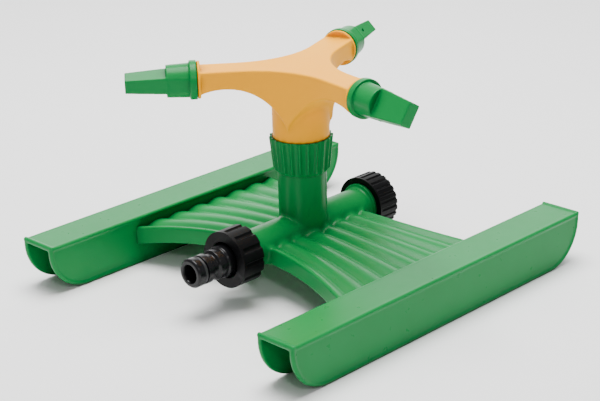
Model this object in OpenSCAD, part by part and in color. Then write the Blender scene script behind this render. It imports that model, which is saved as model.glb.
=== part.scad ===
// Rotary garden sprinkler on a sled stand.
// Water enters the tail at -Y, runs through the pipe, up the tower and out of three
// nozzles on a head that spins about Z. The stand rests on Z = 0.

/* [Stand] */
// Length of a runner along Y
runner_length = 240; // [220:1:260]
// Width over both runners
stand_width = 218; // [206:1:230]
// Width of one runner
runner_width = 25.5; // [22:0.5:28]
// Height of the runners
runner_height = 29.5; // [28:0.5:32]
// Radius of the upturned runner ends
runner_end_r = 26; // [20:1:27]
// Wall of a runner
runner_wall = 2.2; // [1.6:0.1:3]
// Width of the rim round a runner's sides
rim_width = 2.4; // [1.5:0.1:3]
// Height of that rim above the side
rim_height = 0.6; // [0.3:0.1:1]

/* [Deck] */
// Half length of the deck where it leaves the pipe
deck_root_half = 39; // [36:0.5:44]
// Half length of the deck where it meets a runner
deck_tip_half = 56.5; // [50:0.5:64]
// Height of the deck's grooves at the pipe
deck_root_z = 28.7; // [26:0.1:30]
// Height of the deck's grooves at a runner
deck_tip_z = 21.4; // [18:0.1:25]
// Number of grooves across each side, with a ridge on both edges
deck_grooves = 7; // [5:1:9]
// Height of a ridge above its grooves
ridge_height = 2.6; // [1.5:0.1:3.5]
// Wall of the deck
deck_wall = 2.4; // [1.6:0.1:3]

/* [Pipe and tower] */
// Height of the pipe's axis
pipe_z = 28; // [27:0.5:30]
// Outer radius of the pipe
pipe_r = 11; // [10.5:0.1:12]
// Radius of the water way in the pipe
pipe_bore_r = 8; // [6:0.1:8.5]
// Outer radius of the male threads, 3/4 inch pipe thread
thread_r = 13.2; // [13:0.05:13.3]
// Outer radius of the tower
tower_r = 14.1; // [13.9:0.1:14.5]

/* [Head] */
// Height of the arms' axes
arm_z = 121; // [118:0.5:124]
// Distance from the spin axis to the nozzles' seats
arm_reach = 57.5; // [54:0.5:60]
// Turn of the first arm about Z at rest
arm_angle = 230; // [0:1:359]
// Width of an arm
arm_width = 18; // [16:0.5:19]
// Height of the head's flat top
head_top_z = 127.3; // [126:0.1:128]
// Radius of the neck
neck_r = 16.3; // [15.8:0.1:16.4]

/* [Nozzles] */
// Length of a nozzle
nozzle_length = 40; // [38:0.5:44]
// Turn of each nozzle about its arm at rest
nozzle_turn = [-5, -121, -42];
// Width of a nozzle's mouth
mouth_width = 13; // [11:0.5:14]
// Thickness of a nozzle's mouth
mouth_thick = 7.6; // [6:0.1:8]

/* [Hidden] */
$fn = 96;

eps = 0.01;
green = [0.0, 0.55, 0.25];
yellow = [0.99, 0.75, 0.16];
black = [0.08, 0.08, 0.08];
rubber = [0.15, 0.15, 0.16];
white = [0.92, 0.92, 0.9];

runner_x = stand_width / 2 - runner_width;      // inner face of a runner
runner_face = rim_height;                       // the sides stand back from the rims
deck_root_x = pipe_r - 0.6;                     // the deck starts just inside the pipe
deck_tip_x = runner_x + rim_height;

pipe_end = 56.5;                                  // pipe's open ends at -Y and +Y
thread_start = 46.5;                            // shoulder behind each male thread
fit = 0.05;                                     // radial clearance of a running fit

tower_top = 77.4;
tower_bore_r = 9.3;
collar_bottom = 64.5;
collar_top = 85.2;
collar_lip_bottom = 80.8;
collar_lip_top = 83.2;
spindle_r = 8;

arm_angles = [for (i = [0:2]) arm_angle + 120 * i];
seat_flange = 1.7;                              // thickness of the flange at an arm's end
seat_r = 10.6;                                  // its radius
spigot_r = 6.6;                                 // spigot inside a nozzle
spigot_length = 13;
arm_bore_r = 3;
groove_r = spigot_r - 1.3;                      // floor of the seal's groove on a spigot
fillet_r = 51.5;                                // concave sides of the head
fillet_centre = (arm_width / 2 - 0.03 + fillet_r) / sin(60); // just crosses the arms' sides
arch_r = 36.6;                                  // arched underside of each arm
arch_reach = 43;
arch_top = 116.8;

nut_front = 63.5;                               // inlet nut, distances along -Y
nut_back = 48;
cap_back = 49;                                  // end cap, distances along +Y
cap_end = 64;

// ---------- helpers ----------

// Places a shape drawn along +Z onto the -Y side of the pipe's axis
module along_inlet() { translate([0, 0, pipe_z]) rotate([90, 0, 0]) children(); }

// Places a shape drawn along +Z onto the +Y side of the pipe's axis
module along_cap() { translate([0, 0, pipe_z]) rotate([-90, 0, 0]) children(); }

// Places a shape drawn along +Z onto arm i, starting at the spin axis
module along_arm(i) {
    translate([0, 0, arm_z]) rotate([0, 90, arm_angles[i]]) children();
}

module tube(r_out, r_in, z0, z1) {
    translate([0, 0, z0]) difference() {
        cylinder(r = r_out, h = z1 - z0);
        translate([0, 0, -1]) cylinder(r = r_in, h = z1 - z0 + 2);
    }
}

module o_ring(centre_r, section_r, z) {
    translate([0, 0, z]) rotate_extrude()
        translate([centre_r, 0]) circle(r = section_r, $fn = 32);
}

// ---------- runners ----------

// Side outline of a runner in Y and Z, drawn in from its edge by inset
module runner_outline(inset) {
    half = runner_length / 2 - inset;
    r = runner_end_r - inset;
    top = runner_height - inset;
    intersection() {
        translate([-half, inset]) square([2 * half, top - inset]);
        union() {
            translate([r - half, inset]) square([2 * (half - r), top - inset]);
            translate([-half, inset + r]) square([2 * half, top - inset - r]);
            for (side = [-1, 1]) translate([side * (half - r), inset + r]) circle(r = r, $fn = 120);
        }
    }
}

module runner_slab(x0, x1, inset) {
    translate([x0, 0, 0]) rotate([90, 0, 90]) linear_extrude(x1 - x0) runner_outline(inset);
}

// Runner on the +X side: a channel open below and at both ends, with rimmed sides
module runner() {
    x0 = runner_x;
    x1 = runner_x + runner_width;
    lip_length = 2.2;
    lip_height = 0.8;
    difference() {
        union() {
            runner_slab(x0 + runner_face, x1 - runner_face, 0);
            difference() {
                runner_slab(x0, x1, 0);
                runner_slab(x0 - 1, x1 + 1, rim_width);
            }
            for (end = [-1, 1])
                translate([x0, end * (runner_length - lip_length) / 2 - lip_length / 2, runner_height - 1])
                    cube([runner_width, lip_length, 1 + lip_height]);
        }
        translate([x0 + runner_face + runner_wall, -runner_length / 2 - 1, -1])
            cube([runner_width - 2 * (runner_face + runner_wall), runner_length + 2,
                  runner_height - runner_wall + 1]);
    }
}

module right_runner() { color(green) runner(); }
module left_runner() { color(green) mirror([1, 0, 0]) runner(); }

// ---------- deck ----------

deck_steps = 9;                                 // sections from the pipe to a runner
ridge_steps = 4;                                // points from one groove to the next
top_points = deck_grooves * ridge_steps;

function deck_way(x) = (x - deck_root_x) / (deck_tip_x - deck_root_x);
function deck_half(x) = deck_root_half + (deck_tip_half - deck_root_half) * pow(deck_way(x), 1.8);
function deck_groove(x) = deck_root_z - (deck_root_z - deck_tip_z) * pow(deck_way(x), 1.6);
function skirt_bottom(x) = 20.5 - 8 * pow(deck_way(x), 2);
function ridge(s) = ridge_height * pow(abs(cos(180 * deck_grooves * s)), 0.8);

// One section of the deck at x: along the ridged top, down a skirt, back under, up
function deck_section(x) = let (half = deck_half(x), low = skirt_bottom(x), in = half - deck_wall) [
    for (i = [0:top_points]) let (s = i / top_points)
        [x, (2 * s - 1) * half, deck_groove(x) + ridge(s)],
    [x, half, low],
    [x, in, low],
    for (i = [top_points:-1:0]) let (s = i / top_points)
        [x, (2 * s - 1) * in, deck_groove(x) + ridge(s) - deck_wall],
    [x, -in, low],
    [x, -half, low]
];

// Deck on the +X side, a thin shell swept from the pipe to the runner
module deck() {
    points_each = 2 * (top_points + 1) + 4;
    points = [
        for (i = [0:deck_steps])
            each deck_section(deck_root_x + (deck_tip_x - deck_root_x) * i / deck_steps)
    ];
    walls = [
        for (i = [0:deck_steps - 1], j = [0:points_each - 1])
            let (k = (j + 1) % points_each, a = i * points_each, b = a + points_each)
                each [[a + j, b + j, b + k], [a + j, b + k, a + k]]
    ];
    first = [for (j = [0:points_each - 1]) j];
    last = [for (j = [points_each - 1:-1:0]) deck_steps * points_each + j];
    polyhedron(points = points, faces = concat(walls, [first, last]), convexity = 10);
}

module right_deck() { color(green) deck(); }
module left_deck() { color(green) mirror([1, 0, 0]) deck(); }

// ---------- pipe and tower ----------

// Shallow thread ridges, drawn as rings at the thread's pitch
module thread_rings(r, z0, z1) {
    pitch = 1.814;
    for (z = [z0 + pitch:pitch:z1 - pitch / 2])
        translate([0, 0, z]) rotate_extrude()
            polygon([[r - 1, -0.45], [r - 0.35, -0.45], [r, -0.12], [r, 0.12], [r - 0.35, 0.45], [r - 1, 0.45]]);
}

module water_pipe() {
    color(green) difference() {
        union() {
            along_inlet() translate([0, 0, -thread_start]) cylinder(r = pipe_r, h = 2 * thread_start);
            for (side = [0, 1]) rotate([0, 0, 180 * side]) along_inlet() {
                translate([0, 0, thread_start]) cylinder(r = thread_r, h = 1.2);
                translate([0, 0, thread_start]) cylinder(r = thread_r - 0.35, h = pipe_end - thread_start);
                thread_rings(thread_r, thread_start + 2, pipe_end);
            }
            translate([0, 0, pipe_z - 1]) cylinder(r = tower_r, h = collar_bottom + 0.4 - pipe_z);
            translate([0, 0, pipe_z]) cylinder(r = thread_r - 0.35, h = tower_top - pipe_z);
            thread_rings(thread_r, collar_bottom + 0.5, tower_top);
        }
        along_inlet() translate([0, 0, -pipe_end - 1]) cylinder(r = pipe_bore_r, h = 2 * pipe_end + 2);
        translate([0, 0, pipe_z]) cylinder(r = tower_bore_r, h = tower_top);
    }
}

// ---------- collar and bearing ----------

// Ribs round a ring: count ribs of radius rib_r, leaning from r0 at z0 to r1 at z1
module ribs(count, rib_r, r0, r1, z0, z1) {
    lean = atan((r1 - r0) / (z1 - z0));
    length = (z1 - z0) / cos(lean);
    for (i = [0:count - 1]) rotate([0, 0, 360 * (i + 0.5) / count])
        translate([r0, 0, z0]) rotate([0, lean, 0]) cylinder(r = rib_r, h = length, $fn = 24);
}

module collar_nut() {
    r_low = 15.1;
    r_high = 17.3;
    color(green) difference() {
        union() {
            translate([0, 0, collar_bottom])
                cylinder(r1 = r_low, r2 = r_high, h = collar_top - collar_bottom);
            intersection() {
                ribs(22, 1.1, r_low - 0.25, r_high - 0.25, collar_bottom - 1, collar_top + 1);
                tube(30, 10, collar_bottom + 0.5, collar_top - 0.6);
            }
        }
        translate([0, 0, collar_bottom - 1]) cylinder(r = thread_r + fit, h = collar_lip_bottom - collar_bottom + 1);
        translate([0, 0, collar_bottom]) cylinder(r = spindle_r + 0.5, h = 30);
        translate([0, 0, collar_lip_top]) cylinder(r = neck_r + 0.3, h = 5);
    }
}

washer_r = 12.8;

module lower_thrust_washer() { color(white) tube(washer_r, spindle_r + 0.3, tower_top, tower_top + 1); }
module upper_thrust_washer() {
    color(white) tube(washer_r, spindle_r + 0.3, collar_lip_bottom - 0.8, collar_lip_bottom);
}

module rotor_spindle() {
    flange_bottom = tower_top + 1.1;
    flange_top = collar_lip_bottom - 0.9;
    color(white) difference() {
        union() {
            translate([0, 0, 68]) cylinder(r = spindle_r, h = 32);
            translate([0, 0, flange_bottom]) cylinder(r = 12.6, h = flange_top - flange_bottom);
        }
        translate([0, 0, 60]) cylinder(r = 5.6, h = 50);
        translate([0, 0, 71]) difference() {
            cylinder(r = 10, h = 2.4);
            translate([0, 0, -1]) cylinder(r = 6.9, h = 5);
        }
    }
}

module spindle_seal() { color(rubber) o_ring(8.08, 1.17, 72.2); }

// ---------- head ----------

module head_plan() {
    tangent = (arm_width / 2) / tan(60) + fillet_r / tan(60);
    core_r = norm([tangent, arm_width / 2]);
    for (a = arm_angles) rotate(a) translate([0, -arm_width / 2]) square([arm_reach - 1, arm_width]);
    difference() {
        circle(r = core_r);
        for (a = arm_angles) rotate(a + 60) translate([fillet_centre, 0]) circle(r = fillet_r, $fn = 180);
    }
}

// End of an arm: the flange that a nozzle seats on, and the grooved spigot inside it
module spigot() {
    rotate_extrude() polygon([
        [0, -seat_flange], [seat_r, -seat_flange], [seat_r, 0], [spigot_r, 0],
        [spigot_r, 8], [groove_r, 8], [groove_r, 10.4], [spigot_r, 10.4],
        [spigot_r, spigot_length - 0.6], [spigot_r - 0.6, spigot_length], [0, spigot_length]
    ]);
}

module rotor_head() {
    neck_bottom = collar_lip_top + 0.3;
    color(yellow) difference() {
        union() {
            difference() {
                translate([0, 0, neck_bottom + 2]) linear_extrude(head_top_z - neck_bottom - 2) head_plan();
                for (a = arm_angles) rotate([0, 0, a])
                    translate([arch_reach, 40, arch_top - arch_r]) rotate([90, 0, 0])
                        cylinder(r = arch_r, h = 80, $fn = 160);
            }
            translate([0, 0, neck_bottom]) cylinder(r = neck_r, h = head_top_z - neck_bottom - 6);
            for (i = [0:2]) along_arm(i) translate([0, 0, arm_reach]) spigot();
        }
        translate([0, 0, neck_bottom - 1]) cylinder(r = spindle_r, h = 100 - neck_bottom + 1);
        translate([0, 0, neck_bottom]) cylinder(r = 5, h = arm_z + 2.5 - neck_bottom);
        for (i = [0:2]) along_arm(i)
            translate([0, 0, 2]) cylinder(r = arm_bore_r, h = arm_reach + spigot_length);
    }
}

// ---------- nozzles ----------

// Duck-billed nozzle drawn along +Z from its seat, flats facing +X and -X before its turn
module nozzle_body() {
    ring_length = 4;
    barrel_end = 17;
    ring_r = 11.1;
    difference() {
        union() {
            cylinder(r = ring_r, h = ring_length);
            intersection() {
                cylinder(r1 = 9.9, r2 = 9.2, h = barrel_end);
                side_flats();
            }
            bill(barrel_end);
        }
        translate([0, 0, -1]) cylinder(r = spigot_r + fit, h = spigot_length + 1.4);
        cylinder(r = 3.2, h = barrel_end + 8);
        translate([0, 0, barrel_end + 6]) rotate([90, 0, 0]) cylinder(r = 1.1, h = 15, $fn = 32);
    }
}

// Room between the two narrow sides, which taper from the ring to the mouth
module side_flats() {
    base_width = 18.8;
    rotate([90, 0, 90]) linear_extrude(30, center = true) polygon([
        [-base_width / 2, 0], [base_width / 2, 0],
        [mouth_width / 2, nozzle_length], [-mouth_width / 2, nozzle_length]
    ]);
}

// Flat bill in front of the barrel
module bill(start) {
    root_thick = 9.6;
    intersection() {
        side_flats();
        rotate([90, 0, 0]) linear_extrude(30, center = true) polygon([
            [-root_thick / 2, start - 6], [root_thick / 2, start - 6], [root_thick / 2, start],
            [mouth_thick / 2, nozzle_length], [-mouth_thick / 2, nozzle_length], [-root_thick / 2, start]
        ]);
        cylinder(r = 9.3, h = nozzle_length);
    }
}

module nozzle(i) {
    color(green) along_arm(i) translate([0, 0, arm_reach + 0.3]) rotate([0, 0, nozzle_turn[i]]) nozzle_body();
}

module nozzle_seal(i) { color(rubber) along_arm(i) o_ring(groove_r + 0.65, 0.64, arm_reach + 9.2); }

module nozzle_1() { nozzle(0); }
module nozzle_2() { nozzle(1); }
module nozzle_3() { nozzle(2); }
module nozzle_seal_1() { nozzle_seal(0); }
module nozzle_seal_2() { nozzle_seal(1); }
module nozzle_seal_3() { nozzle_seal(2); }

// ---------- inlet ----------

tail_bore_r = 5;
nut_mouth_r = 10.6;
washer_depth = 2;

module inlet_nut() {
    flutes = 12;
    nut_r = 16.4;
    lip = 2.5;
    color(black) along_inlet() difference() {
        translate([0, 0, nut_back]) cylinder(r = nut_r, h = nut_front - nut_back);
        for (i = [0:flutes - 1]) rotate([0, 0, 360 * i / flutes])
            translate([nut_r + 0.9, 0, nut_back - 1])
                cylinder(r = 1.9, h = nut_front - nut_back - 1, $fn = 32);
        translate([0, 0, nut_back - 1]) cylinder(r = thread_r + fit, h = nut_front - lip - nut_back + 1);
        translate([0, 0, nut_back]) cylinder(r = nut_mouth_r, h = 40);
    }
}

// Quick-connect tail, turned about the pipe's axis
module inlet_tail() {
    flange = pipe_end + washer_depth;
    color(black) along_inlet() rotate_extrude() polygon([
        [tail_bore_r, flange], [12.9, flange], [12.9, flange + 2.4], [10.5, flange + 2.4],
        [10.5, 61.6], [9.3, 62.2], [9.3, 67.2], [8.6, 68], [8.6, 73], [7, 74.2], [7, 77], [8.4, 78.2],
        [8.4, 82], [6.1, 82], [6.1, 84.8], [8.4, 84.8], [8.4, 88.3], [7.4, 89.5], [5.6, 89.5],
        [tail_bore_r, 88.3]
    ]);
}

module tail_seal() { color(rubber) along_inlet() o_ring(7.2, 1.1, 83.4); }

module inlet_washer() {
    color(rubber) along_inlet() tube(12.9, pipe_bore_r, pipe_end, pipe_end + washer_depth);
}

// ---------- far end ----------

module end_cap() {
    cap_r = 16.7;
    grips = 24;
    color(black) along_cap() difference() {
        translate([0, 0, cap_back]) cylinder(r = cap_r, h = cap_end - cap_back);
        for (i = [0:grips - 1]) rotate([0, 0, 360 * i / grips])
            translate([cap_r + 0.5, 0, cap_back + 1.2]) cylinder(r = 1.2, h = cap_end, $fn = 24);
        translate([0, 0, cap_back - 1])
            cylinder(r = thread_r + fit, h = pipe_end + washer_depth - cap_back + 1);
        translate([0, 0, cap_end - 1.5]) cylinder(r = 12, h = 5);
    }
}

module cap_washer() {
    color(rubber) along_cap() tube(12.9, 3, pipe_end, pipe_end + washer_depth);
}

left_runner();
right_runner();
left_deck();
right_deck();
water_pipe();
collar_nut();
lower_thrust_washer();
upper_thrust_washer();
rotor_spindle();
spindle_seal();
rotor_head();
nozzle_1();
nozzle_2();
nozzle_3();
nozzle_seal_1();
nozzle_seal_2();
nozzle_seal_3();
inlet_nut();
inlet_tail();
tail_seal();
inlet_washer();
end_cap();
cap_washer();
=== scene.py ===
"""Looks of a three-arm rotary garden sprinkler on a green sled stand.

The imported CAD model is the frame: +Z is up, the head spins about Z, and the runners lie
along Y. The scene is in metres and the fields are in millimetres. The head, the base, the
collar nut and the nozzles are built again here as smooth meshes with fillets, each from a
field in the frame's axes. The other parts keep their CAD shape and get softened edges.
"""

import math

import bpy
import numpy as np
from mathutils import Matrix, Vector


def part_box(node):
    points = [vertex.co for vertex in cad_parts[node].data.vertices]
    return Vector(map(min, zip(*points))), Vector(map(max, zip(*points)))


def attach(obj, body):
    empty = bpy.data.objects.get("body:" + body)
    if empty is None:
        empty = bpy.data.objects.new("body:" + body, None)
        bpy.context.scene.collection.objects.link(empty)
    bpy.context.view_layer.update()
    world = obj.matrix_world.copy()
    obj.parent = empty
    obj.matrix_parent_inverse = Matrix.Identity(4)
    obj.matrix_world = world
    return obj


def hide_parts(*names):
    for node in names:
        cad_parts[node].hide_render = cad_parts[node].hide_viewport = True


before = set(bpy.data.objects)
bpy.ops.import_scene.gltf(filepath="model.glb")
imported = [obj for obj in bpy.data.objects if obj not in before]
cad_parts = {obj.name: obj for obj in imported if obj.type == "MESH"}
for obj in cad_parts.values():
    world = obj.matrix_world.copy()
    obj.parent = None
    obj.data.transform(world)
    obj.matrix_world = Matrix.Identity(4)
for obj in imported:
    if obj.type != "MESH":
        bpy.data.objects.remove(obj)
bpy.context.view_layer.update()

MM = 0.001


# ---------- materials ----------

def new_material(name):
    """An empty node material and its shader, ready for links."""
    made = bpy.data.materials.new(name)
    made.use_nodes = True
    nodes = made.node_tree.nodes
    nodes.clear()
    shader = nodes.new("ShaderNodeBsdfPrincipled")
    output = nodes.new("ShaderNodeOutputMaterial")
    made.node_tree.links.new(shader.outputs["BSDF"], output.inputs["Surface"])
    return made, shader


def noise(made, size, detail=3.0, roughness=0.55):
    """Noise whose blobs are about `size` metres across, in the object's own space."""
    nodes, links = made.node_tree.nodes, made.node_tree.links
    place = nodes.new("ShaderNodeTexCoord")
    texture = nodes.new("ShaderNodeTexNoise")
    texture.inputs["Scale"].default_value = 1 / size
    texture.inputs["Detail"].default_value = detail
    texture.inputs["Roughness"].default_value = roughness
    links.new(place.outputs["Object"], texture.inputs["Vector"])
    return texture.outputs["Fac"]


def spread(made, value, low, high, to_low=0.0, to_high=1.0):
    """Maps value from low..high onto to_low..to_high."""
    node = made.node_tree.nodes.new("ShaderNodeMapRange")
    for name, number in (("From Min", low), ("From Max", high), ("To Min", to_low), ("To Max", to_high)):
        node.inputs[name].default_value = number
    made.node_tree.links.new(value, node.inputs["Value"])
    return node.outputs["Result"]


def mix_colour(made, factor, a, b):
    """Colour a where factor is 0 and b where it is 1; each is a socket or a colour."""
    node = made.node_tree.nodes.new("ShaderNodeMix")
    node.data_type = "RGBA"
    made.node_tree.links.new(factor, node.inputs["Factor"])
    for socket, colour in ((node.inputs[6], a), (node.inputs[7], b)):
        if isinstance(colour, tuple):
            socket.default_value = (*colour, 1.0)
        else:
            made.node_tree.links.new(colour, socket)
    return node.outputs[2]


def worn_edges(made):
    """1 along edges and 0 elsewhere, broken up by fine noise."""
    nodes, links = made.node_tree.nodes, made.node_tree.links
    shape = nodes.new("ShaderNodeNewGeometry")
    edge = spread(made, shape.outputs["Pointiness"], 0.53, 0.6)
    broken = spread(made, noise(made, 1.6 * MM, 4.0), 0.35, 0.65)
    both = nodes.new("ShaderNodeMath")
    both.operation = "MULTIPLY"
    links.new(edge, both.inputs[0])
    links.new(broken, both.inputs[1])
    return both.outputs["Value"]


def painted_gap_shade(made, reach):
    """Mask for painted shade: 0 in the open and 1 deep in narrow gaps, where shade falls; reach is how
    far it looks for nearby surface.
    """
    nodes = made.node_tree.nodes
    shelter = nodes.new("ShaderNodeAmbientOcclusion")
    shelter.samples = 8
    shelter.inputs["Distance"].default_value = reach
    return spread(made, shelter.outputs["AO"], 0.4, 0.97, 1.0, 0.0)


def add_bump(made, shader, layers):
    """Stacks bumps; each layer is (height socket, depth in metres, strength)."""
    nodes, links = made.node_tree.nodes, made.node_tree.links
    below = None
    for height, depth, strength in layers:
        bump = nodes.new("ShaderNodeBump")
        bump.inputs["Strength"].default_value = strength
        bump.inputs["Distance"].default_value = depth
        links.new(height, bump.inputs["Height"])
        if below:
            links.new(below, bump.inputs["Normal"])
        below = bump.outputs["Normal"]
    links.new(below, shader.inputs["Normal"])


def plastic(name, base, deep, worn, rough, specular=0.5, grain=0.4):
    """Moulded plastic: slow mottling, paler worn edges, painted shade in gaps and grooves, uneven gloss,
    faint grain.
    """
    made, shader = new_material(name)
    links = made.node_tree.links
    mottle = spread(made, noise(made, 30 * MM, 4.0), 0.3, 0.7)
    colour = mix_colour(made, mottle, deep, base)
    specks = spread(made, noise(made, 0.6 * MM, 2.0), 0.68, 0.80, 0.0, 0.3)
    colour = mix_colour(made, specks, colour, deep)
    colour = mix_colour(made, worn_edges(made), colour, worn)
    # Painted shade: gaps and grooves are darkened towards this colour, 0.3 of the deep tone.
    shade = tuple(0.3 * channel for channel in deep)
    colour = mix_colour(made, painted_gap_shade(made, 7 * MM), colour, shade)
    links.new(colour, shader.inputs["Base Color"])
    gloss = spread(made, noise(made, 6 * MM, 5.0), 0.3, 0.7, rough - 0.03, rough + 0.04)
    links.new(gloss, shader.inputs["Roughness"])
    shader.inputs["Specular IOR Level"].default_value = specular
    add_bump(made, shader, (
        (noise(made, 0.35 * MM, 2.0), 0.02 * MM, grain),
        (noise(made, 12 * MM, 1.0), 0.05 * MM, 0.15),
    ))
    return made


def make_materials():
    """One material for each of the record's slots."""
    return {
        "green_plastic": plastic(
            "green_plastic", rough=0.3, specular=0.13,
            base=(0.0, 0.205, 0.044), deep=(0.0, 0.190, 0.039), worn=(0.01, 0.26, 0.07)),
        "yellow_plastic": plastic(
            "yellow_plastic", rough=0.45, specular=0.08,
            base=(1.0, 0.42, 0.0), deep=(0.99, 0.40, 0.0), worn=(1.0, 0.50, 0.02)),
        "black_plastic": plastic(
            "black_plastic", rough=0.42, specular=0.09,
            base=(0.004, 0.004, 0.0045), deep=(0.002, 0.002, 0.0025), worn=(0.02, 0.02, 0.021)),
        "black_gloss_plastic": plastic(
            "black_gloss_plastic", rough=0.21, specular=0.22, grain=0.15,
            base=(0.008, 0.008, 0.009), deep=(0.004, 0.004, 0.005), worn=(0.01, 0.01, 0.011)),
        "bearing_plastic": plastic(
            "bearing_plastic", rough=0.38,
            base=(0.80, 0.79, 0.75), deep=(0.72, 0.71, 0.66), worn=(0.9, 0.9, 0.88)),
        "seal_rubber": plastic(
            "seal_rubber", rough=0.55, grain=0.7,
            base=(0.018, 0.018, 0.02), deep=(0.010, 0.010, 0.011), worn=(0.05, 0.05, 0.05)),
    }


# ---------- smooth surfaces from fields ----------
#
# A field gives, at points in millimetres, about the distance to a surface: below zero inside.

def cut(a, b, radius=0.0):
    """The space inside both fields, with the edge between them rounded."""
    if radius == 0:
        return np.maximum(a, b)
    near = np.maximum(radius - np.abs(a - b), 0)
    return np.maximum(a, b) + near * near / (4 * radius)


def join(a, b, radius=0.0):
    """The space inside either field, with a fillet where they meet."""
    return -cut(-a, -b, radius)


def field_gradient(field, points):
    """Slope of the field at each point."""
    reach = 0.02
    slopes = [
        (field(*(points + step).T) - field(*(points - step).T)) / (2 * reach)
        for step in np.eye(3) * reach
    ]
    return np.stack(slopes, 1)


def surface_nets(field, low, high, step):
    """Points and quads of the field's zero surface, one point in each grid cell that it crosses."""
    axes = [np.arange(a, b + step, step) for a, b in zip(low, high)]
    values = field(*np.meshgrid(*axes, indexing="ij"))
    inside = values < 0
    cells = tuple(n - 1 for n in values.shape)
    total, count = np.zeros((*cells, 3)), np.zeros(cells)
    corners = [(i, j, k) for i in (0, 1) for j in (0, 1) for k in (0, 1)]
    for start in corners:
        for axis in range(3):
            if start[axis]:
                continue
            end = tuple(c + (n == axis) for n, c in enumerate(start))
            near = tuple(slice(c, c + n) for c, n in zip(start, cells))
            far = tuple(slice(c, c + n) for c, n in zip(end, cells))
            crossed = inside[near] != inside[far]
            gap = np.where(crossed, values[near] - values[far], 1.0)
            place = [np.full(cells, float(c)) for c in start]
            place[axis] = values[near] / gap
            total += np.stack(place, -1) * crossed[..., None]
            count += crossed
    used = count > 0
    number = np.full(cells, -1)
    number[used] = np.arange(used.sum())
    index = np.argwhere(used)
    points = np.array([a[0] for a in axes]) + step * (index + total[used] / count[used][:, None])
    return points, crossing_quads(inside, number, cells)


def crossing_quads(inside, number, cells):
    """Quads round each grid edge that the surface crosses, facing out of the solid."""
    quads = []
    for axis in range(3):
        b, c = (axis + 1) % 3, (axis + 2) % 3
        near = [slice(0, None)] * 3
        far = [slice(0, None)] * 3
        near[axis], far[axis] = slice(0, -1), slice(1, None)
        spots = np.argwhere(inside[tuple(near)] != inside[tuple(far)])
        first, second = spots[:, b], spots[:, c]
        spots = spots[(first > 0) & (second > 0) & (first < cells[b]) & (second < cells[c])]
        around = []
        for back_b, back_c in ((1, 1), (0, 1), (0, 0), (1, 0)):
            cell = spots.copy()
            cell[:, b] -= back_b
            cell[:, c] -= back_c
            around.append(number[tuple(cell.T)])
        ring = np.stack(around, 1)
        outward = inside[tuple(near)][tuple(spots.T)]
        ring[~outward] = ring[~outward][:, ::-1]
        quads.append(ring)
    return np.concatenate(quads)


def mesh_from_field(name, field, low, high, step):
    """An object whose mesh is the field's surface, moved onto it exactly and shaded smooth."""
    points, quads = surface_nets(field, low, high, step)
    for _ in range(4):
        slope = field_gradient(field, points)
        length = np.maximum((slope * slope).sum(1), 0.05)
        move = np.clip(field(*points.T) / length, -0.3 * step, 0.3 * step)
        points = points - slope * move[:, None]
    mesh = bpy.data.meshes.new(name)
    mesh.vertices.add(len(points))
    mesh.vertices.foreach_set("co", (points * MM).astype(np.float32).ravel())
    mesh.loops.add(quads.size)
    mesh.loops.foreach_set("vertex_index", quads.astype(np.int32).ravel())
    mesh.polygons.add(len(quads))
    mesh.polygons.foreach_set("loop_start", np.arange(0, quads.size, 4, dtype=np.int32))
    mesh.update(calc_edges=True)
    mesh.validate()
    mesh.shade_smooth()
    made = bpy.data.objects.new(name, mesh)
    bpy.context.scene.collection.objects.link(made)
    return made


def stand_for(piece, slot, body, *nodes):
    """Puts a piece in place of CAD nodes, on their body and in their material."""
    piece.data.materials.append(materials[slot])
    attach(piece, body)
    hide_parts(*nodes)
    return piece


# ---------- rotor head ----------

ARM_ANGLE, ARM_REACH, ARM_WIDTH, ARM_Z = math.radians(230), 57.5, 18.0, 121.0
HEAD_TOP, SIDE_RADIUS = 127.3, 51.5
ARCH_R, ARCH_ALONG, ARCH_Z = 36.6, 43, 80.2
NECK_R, NECK_BOTTOM, NECK_TOP = 16.3, 83.5, 121.3
SEAT_R, SEAT_FLANGE = 10.6, 1.7
SPIGOT_R, SPIGOT_LENGTH, ARM_BORE_R = 6.6, 13, 3.0
SPINDLE_R, SPINDLE_TOP, CHAMBER_R, CHAMBER_TOP = 8.0, 100, 5.0, 123.5


def head_plan(along, across):
    """Distance from the head's three-armed outline, measured from the nearest arm's axis."""
    half = ARM_WIDTH / 2
    centre = (half + SIDE_RADIUS) / math.sin(math.pi / 3)
    bend = SIDE_RADIUS - np.hypot(along - centre / 2, across - centre * math.sin(math.pi / 3))
    return np.where(along < centre / 2, bend, across - half)


def head_field(x, y, z):
    """Flat-topped arms with arched undersides on a round neck, with seats, spigots and water ways."""
    radius = np.hypot(x, y)
    turn = (np.arctan2(y, x) - ARM_ANGLE + math.pi / 3) % (2 * math.pi / 3) - math.pi / 3
    along, across = radius * np.cos(turn), radius * np.abs(np.sin(turn))
    from_arm = np.hypot(across, z - ARM_Z)
    arms = cut(head_plan(along, across), z - HEAD_TOP, 1.0)
    arms = cut(arms, along - (ARM_REACH - 1), 0.4)
    arch = ARCH_R - np.hypot(along - ARCH_ALONG, np.maximum(z - ARCH_Z, 0))
    arms = cut(arms, arch, 0.9)
    neck = cut(cut(radius - NECK_R, z - NECK_TOP, 1.0), NECK_BOTTOM - z, 0.8)
    solid = join(arms, neck, 1.2)
    seat = cut(from_arm - SEAT_R, along - ARM_REACH, 0.3)
    seat = cut(seat, ARM_REACH - SEAT_FLANGE - along, 0.5)
    spigot = cut(from_arm - SPIGOT_R, along - (ARM_REACH + SPIGOT_LENGTH), 0.8)
    spigot = cut(spigot, ARM_REACH - 3 - along)
    solid = join(join(solid, seat, 0.6), spigot)
    solid = cut(solid, -cut(from_arm - ARM_BORE_R, 2 - along))
    solid = cut(solid, -cut(radius - SPINDLE_R, z - SPINDLE_TOP))
    return cut(solid, -cut(radius - CHAMBER_R, z - CHAMBER_TOP))


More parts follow.
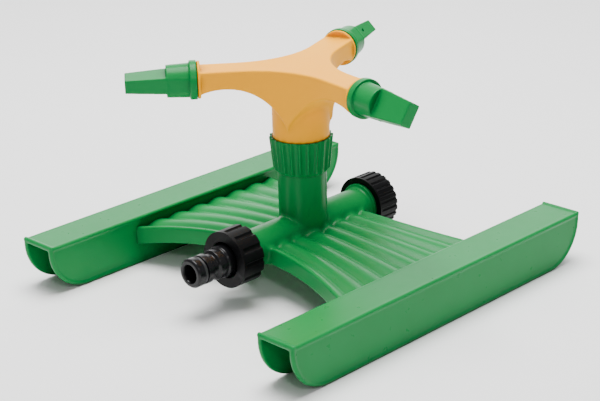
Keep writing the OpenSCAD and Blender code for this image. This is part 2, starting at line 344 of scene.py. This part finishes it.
def make_head():
    """The yellow three-armed head."""
    low, high = (np.array(c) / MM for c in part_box("rotor_head"))
    piece = mesh_from_field("head_moulding", head_field, low - 2, high + 2, 0.62)
    stand_for(piece, "yellow_plastic", "rotor", "rotor_head")


# ---------- stand moulding ----------

PIPE_Z, PIPE_R, PIPE_BORE_R, PIPE_END = 28.0, 11.0, 8.0, 56.4
THREAD_R, THREAD_PITCH, THREAD_START = 13.0, 1.8, 47.5
TOWER_R, TOWER_BORE_R, TOWER_TOP = 14.1, 9.3, 77.4
DECK_ROOT_X, DECK_TIP_X = 10.4, 84.1
DECK_ROOT_HALF, DECK_FLARE = 39.0, 17.5
DECK_ROOT_Z, DECK_DROP = 28.7, 7.3
SKIRT_ROOT_Z, SKIRT_DROP = 20.5, 8
GROOVES, RIDGE_HEIGHT, DECK_WALL = 7, 2.6, 2.4
DECK_SLOPE = 0.88   # steepness of the ridges' sides, which brings the field near a true distance


def deck_field(x, y, z):
    """Both ridged decks with their skirts, drawn in x's size so that they mirror."""
    out = np.abs(x)
    way = np.clip((out - DECK_ROOT_X) / (DECK_TIP_X - DECK_ROOT_X), 0, 1)
    half = DECK_ROOT_HALF + DECK_FLARE * way ** 1.8
    groove = DECK_ROOT_Z - DECK_DROP * way ** 1.6
    wave = np.abs(np.cos(math.pi * GROOVES * (y / half + 1) / 2))
    rise = np.clip((out - 6) / 12, 0, 1)
    ridge = RIDGE_HEIGHT * (rise * (2 - rise) * (wave * wave + 0.05) ** 0.42)
    top = groove + ridge - 0.4
    edge = (np.abs(y) - half) * 0.93
    shell = cut((z - top) * DECK_SLOPE, edge, 1.6)
    hollow = cut((z - (top - DECK_WALL)) * DECK_SLOPE, edge + DECK_WALL, 0.8)
    skirt = SKIRT_ROOT_Z - SKIRT_DROP * way ** 2
    shell = cut(cut(shell, -hollow, 0.3), skirt - z, 0.6)
    return cut(cut(shell, out - DECK_TIP_X), 4 - out)


def open_bores(solid, x, y, z):
    """The solid with the cross pipe's and the tower's bores cut through it."""
    solid = cut(solid, -(np.hypot(x, z - PIPE_Z) - PIPE_BORE_R), 0.3)
    return cut(solid, -cut(np.hypot(x, y) - TOWER_BORE_R, PIPE_Z - z), 0.3)


def pipe_field(x, y, z):
    """The cross pipe with its threaded ends, and the tower that stands on it."""
    length = np.abs(y)
    from_pipe = np.hypot(x, z - PIPE_Z)
    pipe = cut(from_pipe - PIPE_R, length - (THREAD_START + 0.5), 0.4)
    turns = np.abs((length % THREAD_PITCH) - THREAD_PITCH / 2) - THREAD_PITCH / 4
    span = cut(length - PIPE_END, THREAD_START - length, 0.5)
    thread = cut(from_pipe - THREAD_R + np.clip(turns, -0.3, 0.3) * 0.8, span, 0.4)
    tower = cut(np.hypot(x, y) - TOWER_R, z - TOWER_TOP, 0.6)
    tower = cut(tower, PIPE_Z - z, 0.2)
    solid = join(join(pipe, tower, 2.2), thread, 2.4)
    return open_bores(solid, x, y, z)


def middle_field(x, y, z):
    """Decks blended into the pipe, with both bores kept open."""
    solid = join(deck_field(x, y, z), pipe_field(x, y, z), 3.0)
    return open_bores(solid, x, y, z)


def make_middle():
    """The green middle of the stand: pipe, tower and both decks in one smooth piece."""
    corners = [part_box(n) for n in ("left_deck", "right_deck", "water_pipe")]
    low = np.min([c[0] for c in corners], axis=0) / MM
    high = np.max([c[1] for c in corners], axis=0) / MM
    piece = mesh_from_field("stand_middle", middle_field, low - 2, high + 2, 0.72)
    stand_for(piece, "green_plastic", "stand", "left_deck", "right_deck", "water_pipe")


# ---------- runners ----------

RUNNER_IN, RUNNER_OUT, RUNNER_HALF, RUNNER_TOP, RUNNER_END_R = 83.5, 109.0, 120.0, 29.5, 26.0
SIDE_INSET, RUNNER_WALL, BEAD_R = 0.6, 2.2, 1.2


def runner_outline(y, z):
    """Distance from a runner's side outline: square above, rounded up at both lower ends."""
    along, down = np.abs(y) - (RUNNER_HALF - RUNNER_END_R), RUNNER_END_R - z
    corner = np.hypot(np.maximum(along, 0), np.maximum(down, 0)) - RUNNER_END_R
    corner = np.where((along < 0) & (down < 0), np.maximum(along, down) - RUNNER_END_R, corner)
    return np.maximum(corner, z - RUNNER_TOP)


def runner_field(x, y, z):
    """A channel open below, with a bead round each side and a raised lip across each end."""
    out = np.abs(x)
    outline = runner_outline(y, z)
    sides = np.maximum(RUNNER_IN - out, out - RUNNER_OUT)
    solid = cut(outline, sides + SIDE_INSET, 0.8)
    bead = np.hypot(outline + BEAD_R, sides + BEAD_R) - BEAD_R
    solid = join(solid, bead, 0.5)
    lip = np.hypot(np.abs(y) - (RUNNER_HALF - BEAD_R), z - (RUNNER_TOP + 0.8 - BEAD_R)) - BEAD_R
    solid = join(solid, cut(lip, sides, 0.8), 0.6)
    wall = SIDE_INSET + RUNNER_WALL
    return cut(solid, -cut(sides + wall, z - (RUNNER_TOP - RUNNER_WALL), 1.0), 0.6)


def make_runners():
    """Both runners of the stand."""
    for node in ("left_runner", "right_runner"):
        low, high = (np.array(c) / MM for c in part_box(node))
        piece = mesh_from_field(node + "_moulding", runner_field, low - 2, high + 2, 0.8)
        stand_for(piece, "green_plastic", "stand", node)


# ---------- nozzles ----------

NOZZLE_TURNS = (-5, -121, -42)
NOZZLE_LENGTH, BARREL_END = 40.0, 17.0
RING_R, RING_LENGTH = 11.1, 4
BARREL_R, BARREL_TAPER, BILL_R = 9.9, 0.7, 9.2
FLAT_BASE, FLAT_TAPER, BILL_THICK = 9.4, 2.9, 4.8
SOCKET_R, SOCKET_DEPTH = 6.65, 14.4
WATERWAY_R, WATERWAY_END, OUTLET_R, OUTLET_ALONG = 3.2, 25, 1.1, 23


def nozzle_field(flat, side, along):
    """A ringed barrel that steps into a flat tapering bill with a small outlet on one narrow side."""
    radius = np.hypot(flat, side)
    ring = cut(cut(radius - RING_R, along - RING_LENGTH, 0.6), -along, 0.4)
    barrel = radius - (BARREL_R - BARREL_TAPER * along / BARREL_END)
    barrel = cut(cut(barrel, along - BARREL_END, 0.5), -along)
    flats = np.abs(side) - (FLAT_BASE - FLAT_TAPER * along / NOZZLE_LENGTH)
    way = (along - BARREL_END) / (NOZZLE_LENGTH - BARREL_END)
    bill = cut(np.abs(flat) - (BILL_THICK - way), radius - BILL_R, 0.5)
    bill = cut(bill, cut(along - NOZZLE_LENGTH, BARREL_END - 1 - along), 0.6)
    barrel, bill = cut(barrel, flats, 0.4), cut(bill, flats, 0.5)
    solid = join(join(ring, barrel, 0.5), bill, 0.7)
    solid = cut(solid, -cut(radius - SOCKET_R, along - SOCKET_DEPTH), 0.3)
    solid = cut(solid, -cut(radius - WATERWAY_R, along - WATERWAY_END))
    outlet = cut(np.hypot(flat, along - OUTLET_ALONG) - OUTLET_R, side)
    return cut(solid, -outlet, 0.3)


def make_nozzles():
    """The three nozzles, each turned about its arm."""
    for number, degrees in enumerate(NOZZLE_TURNS):
        arm, turn = ARM_ANGLE + number * 2 * math.pi / 3, math.radians(degrees)

        def field(x, y, z):
            along = x * math.cos(arm) + y * math.sin(arm) - (ARM_REACH + 0.3)
            down, left = ARM_Z - z, y * math.cos(arm) - x * math.sin(arm)
            flat = down * math.cos(turn) + left * math.sin(turn)
            return nozzle_field(flat, left * math.cos(turn) - down * math.sin(turn), along)

        node = f"nozzle_{number + 1}"
        low, high = (np.array(c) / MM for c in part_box(node))
        piece = mesh_from_field(node + "_moulding", field, low - 2, high + 2, 0.5)
        stand_for(piece, "green_plastic", node + "_body", node)


# ---------- collar nut ----------

COLLAR_LOW, COLLAR_HIGH, COLLAR_RIBS = 64.5, 85.2, 22
COLLAR_R, COLLAR_FLARE, RIB_DEPTH = 15.0, 2.2, 1.3
COLLAR_BORE_R, COLLAR_THREAD_R, COLLAR_THREAD_TOP = 8.5, 13.3, 80.8
RECESS_R, RECESS_BOTTOM = 16.5, 83.2


def collar_field(x, y, z):
    """A slightly flared nut with rounded ribs, threaded below and open above round the neck."""
    radius, angle = np.hypot(x, y), np.arctan2(y, x)
    way = (z - COLLAR_LOW) / (COLLAR_HIGH - COLLAR_LOW)
    rib = RIB_DEPTH * (0.5 + 0.5 * np.cos(COLLAR_RIBS * angle)) ** 2.8
    rib = rib * np.clip((z - COLLAR_LOW - 0.6) / 1.2, 0, 1)
    side = (radius - (COLLAR_R + COLLAR_FLARE * way + rib)) * 0.8
    solid = cut(cut(side, z - COLLAR_HIGH, 0.5), COLLAR_LOW - z, 0.4)
    solid = cut(solid, -(radius - COLLAR_BORE_R))
    solid = cut(solid, -cut(radius - COLLAR_THREAD_R, z - COLLAR_THREAD_TOP))
    return cut(solid, -cut(radius - RECESS_R, RECESS_BOTTOM - z), 0.2)


def make_collar():
    """The ribbed nut that holds the rotor on the tower."""
    low, high = (np.array(c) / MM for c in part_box("collar_nut"))
    piece = mesh_from_field("collar_moulding", collar_field, low - 1.5, high + 1.5, 0.4)
    stand_for(piece, "green_plastic", "stand", "collar_nut")


# ---------- CAD parts ----------

def soften(node, width):
    """Rounds a CAD node's edges by width with modifiers; its own mesh stays as it is."""
    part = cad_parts[node]
    weld = part.modifiers.new("weld", "WELD")
    weld.merge_threshold = 0.004 * MM
    bevel = part.modifiers.new("round_edges", "BEVEL")
    bevel.width = width
    bevel.segments = 2
    bevel.limit_method = "ANGLE"
    bevel.angle_limit = math.radians(32)
    bevel.use_clamp_overlap = True
    bevel.harden_normals = False
    normals = part.modifiers.new("normals", "WEIGHTED_NORMAL")
    normals.keep_sharp = True
    return part


SLOTS = {
    "black_plastic": ("inlet_nut", "end_cap"),
    "black_gloss_plastic": ("inlet_tail",),
    "bearing_plastic": ("lower_thrust_washer", "upper_thrust_washer", "rotor_spindle"),
    "seal_rubber": ("spindle_seal", "nozzle_seal_1", "nozzle_seal_2", "nozzle_seal_3", "tail_seal",
                    "inlet_washer", "cap_washer"),
}


def dress_cad():
    """Gives each CAD node its slot's material and softened edges."""
    for slot, nodes in SLOTS.items():
        for node in nodes:
            part = soften(node, 0.3 * MM)
            part.data.materials.clear()
            part.data.materials.append(materials[slot])


# ---------- stage ----------

def make_floor():
    """A plain pale floor under the stand."""
    side = 3.0
    mesh = bpy.data.meshes.new("floor")
    corners = [(-side, -side, 0), (side, -side, 0), (side, side, 0), (-side, side, 0)]
    mesh.from_pydata(corners, [], [(0, 1, 2, 3)])
    floor = bpy.data.objects.new("floor", mesh)
    bpy.context.scene.collection.objects.link(floor)
    made, shader = new_material("floor_paint")
    patches = spread(made, noise(made, 0.4), 0.3, 0.7)
    shade = mix_colour(made, patches, (0.92, 0.92, 0.92), (0.94, 0.94, 0.94))
    made.node_tree.links.new(shade, shader.inputs["Base Color"])
    shader.inputs["Roughness"].default_value = 0.9
    mesh.materials.append(made)


def add_area(name, place, target, size, power):
    """A square soft light at place, facing target."""
    lamp = bpy.data.lights.new(name, "AREA")
    lamp.shape = "SQUARE"
    lamp.size = size
    lamp.energy = power
    holder = bpy.data.objects.new(name, lamp)
    holder.location = place
    holder.rotation_mode = "QUATERNION"
    holder.rotation_quaternion = (Vector(target) - Vector(place)).to_track_quat("-Z", "Y")
    bpy.context.scene.collection.objects.link(holder)


def make_lights():
    """A large soft light overhead, a wide low one behind, a weak one in front and a pale surround."""
    middle = (0.0, 0.0, 0.06)
    add_area("overhead", (-0.15, 0.1, 1.4), middle, 1.0, 50.0)
    add_area("behind", (-1.5, 1.5, 0.75), middle, 1.8, 24.0)
    add_area("front_right", (1.0, -0.75, 0.9), middle, 0.16, 3.0)
    world = bpy.data.worlds.new("surround")
    world.use_nodes = True
    glow = world.node_tree.nodes["Background"]
    glow.inputs["Color"].default_value = (1.0, 1.0, 1.0, 1.0)
    glow.inputs["Strength"].default_value = 0.36
    bpy.context.scene.world = world


def make_camera():
    """The photograph's view: from the inlet's right-hand side, a little above."""
    azimuth, elevation, roll = math.radians(44.806), math.radians(21.032), math.radians(-1.59)
    back = Vector((math.sin(azimuth) * math.cos(elevation), -math.cos(azimuth) * math.cos(elevation),
                   math.sin(elevation)))
    level = Vector((math.cos(azimuth), math.sin(azimuth), 0.0))
    upright = back.cross(level)
    right = level * math.cos(roll) + upright * math.sin(roll)
    up = upright * math.cos(roll) - level * math.sin(roll)
    lens = bpy.data.cameras.new("camera")
    lens.sensor_width = 36.0
    lens.angle = math.radians(20.717)
    camera = bpy.data.objects.new("camera", lens)
    turn = Matrix((right, up, back)).transposed().to_4x4()
    camera.matrix_world = Matrix.Translation((0.62317, -0.62980, 0.38563)) @ turn
    bpy.context.scene.collection.objects.link(camera)
    bpy.context.scene.camera = camera


make_camera()
materials = make_materials()
make_head()
make_middle()
make_runners()
make_nozzles()
make_collar()
dress_cad()
make_floor()
make_lights()
